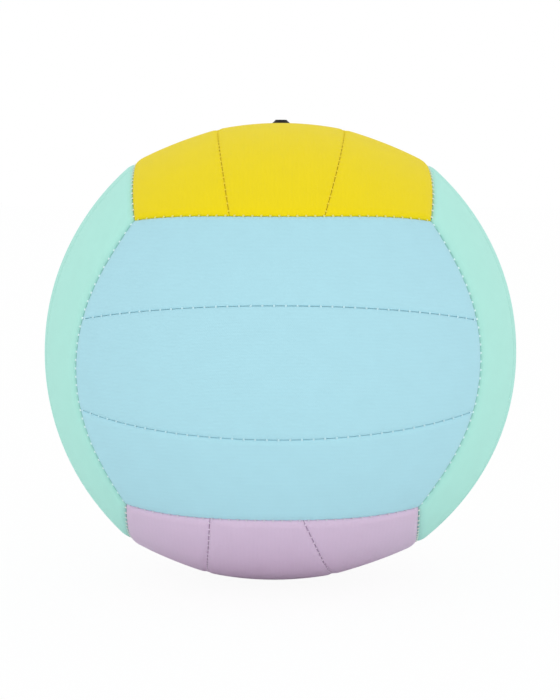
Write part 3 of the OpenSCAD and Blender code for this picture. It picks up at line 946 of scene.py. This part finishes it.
def grainy_material(name, colour, roughness, specular, scale, relief, spread):
    """A finish whose colour and gloss vary with the noise of its grain: foam, thread or rubber. scale is in
    waves a metre, relief in metres, and spread is how far the colour varies, as a share."""
    material, tree, shader = new_material(name, colour, roughness, specular)
    grain = noise(tree, scale)
    shade = plus(tree, times(tree, grain, spread), 1 - spread / 2)
    tree.links.new(scaled_colour(tree, colour, shade), shader.inputs["Base Color"])
    rough = plus(tree, times(tree, grain, GRAIN_ROUGHNESS), roughness - GRAIN_ROUGHNESS / 2)
    tree.links.new(rough, shader.inputs["Roughness"])
    bump(tree, shader, grain, relief)
    return material


TAPE_WAVE_M = 0.0007
TAPE_TINT = 0.08
TAPE_SHADE = 0.97
TAPE_RELIEF_M = 0.0001


def tape_material(name, colour):
    """Plain woven cotton tape: threads over and under in two directions."""
    material, tree, shader = new_material(name, colour, roughness=0.9, specular=0.2)
    place = tree.nodes.new("ShaderNodeTexCoord")
    parts = tree.nodes.new("ShaderNodeSeparateXYZ")
    tree.links.new(place.outputs["Object"], parts.inputs[0])
    turns = 2 * math.pi / TAPE_WAVE_M
    warp = math_node(tree, "SINE", times(tree, parts.outputs["X"], turns))
    weft = math_node(tree, "SINE", times(tree, parts.outputs["Y"], turns))
    weave = times(tree, warp, weft)
    shade = plus(tree, times(tree, weave, TAPE_TINT), TAPE_SHADE)
    tree.links.new(scaled_colour(tree, colour, shade), shader.inputs["Base Color"])
    bump(tree, shader, weave, TAPE_RELIEF_M)
    return material


COVER_COLOURS = {
    "blue": linear(172, 219, 231),
    "mint": linear(177, 235, 223),
    "yellow": linear(236, 214, 14),
    "lilac": linear(217, 194, 219),
}

# The thread is pale. Each face has its own copy, tinted with its covers' colour and lighter than them:
# a painted highlight of the cloth drawn shut at each stitch
THREAD_COLOURS = {
    "blue": (196, 230, 238),
    "mint": (200, 238, 229),
    "yellow": (240, 220, 60),
    "lilac": (228, 212, 230),
    "blue edge": (220, 246, 245),
    "mint edge": (226, 234, 226),
    "yellow edge": (224, 222, 140),
    "lilac edge": (212, 206, 220),
}


def dress(piece, material):
    """Gives a piece one material."""
    piece.data.materials.clear()
    piece.data.materials.append(material)


# Making the ball

jerseys = {name: jersey_material("jersey " + name, colour) for name, colour in COVER_COLOURS.items()}
foam = grainy_material(
    "white foam", linear(236, 235, 228), roughness=0.9, specular=0.2, scale=900, relief=0.00008, spread=0.1
)
threads = {
    name: grainy_material(
        "thread on " + name,
        linear(*colour),
        roughness=0.7,
        specular=0.3,
        scale=3000,
        relief=0.00006,
        spread=0.12,
    )
    for name, colour in THREAD_COLOURS.items()
}
bladder_rubber = grainy_material(
    "bladder rubber", linear(52, 52, 55), roughness=0.6, specular=0.4, scale=400, relief=0.00004, spread=0.2
)
valve_rubber = grainy_material(
    "valve rubber", linear(14, 13, 10), roughness=0.6, specular=0.25, scale=700, relief=0.00003, spread=0.2
)
cotton = tape_material("cotton tape", linear(214, 206, 184))

for face in FACES:
    for strip in STRIPS:
        cover = cover_piece(face, strip)
        pad = pad_piece(face, strip)
        if face.name == "top" and strip == 1:
            cut_hole(cover, HEAD_HOLE_D)
            cut_hole(pad, BOOT_HOLE_D)
        dress(cover, jerseys[face.colour])
        dress(pad, foam)
    strip_depth = STRIP_SEWING[face.colour].depth
    inner_seams = [(strip_seam(face, line), strip_stitches(face, line), strip_depth) for line in (1, 2)]
    end_seams = [(end_seam(face, side), END_STITCHES, EDGE_SEWING.depth) for side in (-1, 1)]
    dress(thread_piece(face.name + "_strip_thread", inner_seams), threads[face.colour])
    dress(thread_piece(face.name + "_end_thread", end_seams), threads[face.colour + " edge"])
dress(bladder_piece(), bladder_rubber)
dress(boot_piece(), bladder_rubber)
dress(plug_piece(), valve_rubber)
dress(ring_piece(), cotton)


# Stage, light and camera


FLOOR_HALF_M = 8.0
FLOOR_GREY = 0.95
FLOOR_WHITE_SHARE = 0.94

# Lengths of the camera in metres, pixels or, for its sensor, millimetres, and angles in radians
IMAGE_LONG_SIDE = 700
SENSOR_W = 36
CAMERA_DISTANCE = 0.9526
CAMERA_FOCUS_PX = 2122.0
CAMERA_YAW = -0.01635
CAMERA_PITCH = 0.08862
CAMERA_ROLL = 0.00212
PICTURE_RIGHT_PX = 0.6
PICTURE_DOWN_PX = 0.9


def white_to_eye(tree, strength):
    """A factor that is strength for rays from the camera and in reflections, and 0 for the light on the
    object."""
    path = tree.nodes.new("ShaderNodeLightPath")
    seen = math_node(tree, "MAXIMUM", path.outputs["Is Camera Ray"], path.outputs["Is Glossy Ray"])
    seen = math_node(tree, "MAXIMUM", seen, path.outputs["Is Transmission Ray"])
    return times(tree, seen, strength)


def floor_piece():
    """A plain pale floor under the ball, nearly white to the eye, which keeps the ball's shadow."""
    low = -BALL_H / 2 * MM
    mesh = bpy.data.meshes.new("floor")
    ways = ((-1, -1), (1, -1), (1, 1), (-1, 1))
    corners = [(x * FLOOR_HALF_M, y * FLOOR_HALF_M, low) for x, y in ways]
    mesh.from_pydata(corners, [], [(0, 1, 2, 3)])
    floor = bpy.data.objects.new("floor", mesh)
    bpy.context.scene.collection.objects.link(floor)
    grey = (FLOOR_GREY, FLOOR_GREY, FLOOR_GREY)
    material, tree, shader = new_material("pale floor", grey, roughness=0.9, specular=0.1)
    glow = tree.nodes.new("ShaderNodeEmission")
    mix = tree.nodes.new("ShaderNodeMixShader")
    tree.links.new(white_to_eye(tree, FLOOR_WHITE_SHARE), mix.inputs[0])
    tree.links.new(shader.outputs[0], mix.inputs[1])
    tree.links.new(glow.outputs[0], mix.inputs[2])
    tree.links.new(mix.outputs[0], tree.nodes["Material Output"].inputs["Surface"])
    dress(floor, material)


def soft_world(strength):
    """Even white light from all round, which looks white to the eye."""
    world = bpy.data.worlds.new("soft light")
    bpy.context.scene.world = world
    world.use_nodes = True
    tree = world.node_tree
    light = tree.nodes["Background"]
    light.inputs["Color"].default_value = (1, 1, 1, 1)
    light.inputs["Strength"].default_value = strength
    seen = tree.nodes.new("ShaderNodeBackground")
    seen.inputs["Color"].default_value = (1, 1, 1, 1)
    seen.inputs["Strength"].default_value = 1
    mix = tree.nodes.new("ShaderNodeMixShader")
    tree.links.new(white_to_eye(tree, 1), mix.inputs[0])
    tree.links.new(light.outputs[0], mix.inputs[1])
    tree.links.new(seen.outputs[0], mix.inputs[2])
    tree.links.new(mix.outputs[0], tree.nodes["World Output"].inputs["Surface"])


def soft_lamp(name, place, power, size):
    """A large square lamp that faces the ball."""
    lamp = bpy.data.lights.new(name, "AREA")
    lamp.shape, lamp.size, lamp.energy = "SQUARE", size, power
    holder = bpy.data.objects.new(name, lamp)
    holder.location = place
    holder.rotation_euler = (-Vector(place)).to_track_quat("-Z", "Y").to_euler()
    bpy.context.scene.collection.objects.link(holder)


def photo_camera():
    """A camera at the photograph's place: turned by yaw, then pitch, then roll about the middle of the
    ball, which it shows a little off the middle of the picture."""
    turned = (
        Matrix.Rotation(CAMERA_ROLL, 3, "Y")
        @ Matrix.Rotation(CAMERA_PITCH, 3, "X")
        @ Matrix.Rotation(CAMERA_YAW, 3, "Z")
    )
    right, forward, up = (turned.transposed() @ Vector(axis) for axis in ((1, 0, 0), (0, 1, 0), (0, 0, 1)))
    camera = bpy.data.cameras.new("camera")
    camera.sensor_width = SENSOR_W
    camera.lens = CAMERA_FOCUS_PX * camera.sensor_width / IMAGE_LONG_SIDE
    camera.shift_x = -PICTURE_RIGHT_PX / IMAGE_LONG_SIDE
    camera.shift_y = PICTURE_DOWN_PX / IMAGE_LONG_SIDE
    holder = bpy.data.objects.new("camera", camera)
    axes = Matrix((right, up, -forward)).transposed()
    holder.matrix_world = Matrix.Translation(-CAMERA_DISTANCE * forward) @ axes.to_4x4()
    bpy.context.scene.collection.objects.link(holder)
    bpy.context.scene.camera = holder


floor_piece()
soft_world(strength=0.98)
soft_lamp("front lamp", place=(0.2, -1.5, 0.5), power=0.8, size=1.4)
soft_lamp("low front lamp", place=(0.1, -1.3, 0.0), power=2.2, size=0.6)
photo_camera()
bpy.context.scene.view_settings.view_transform = "Standard"
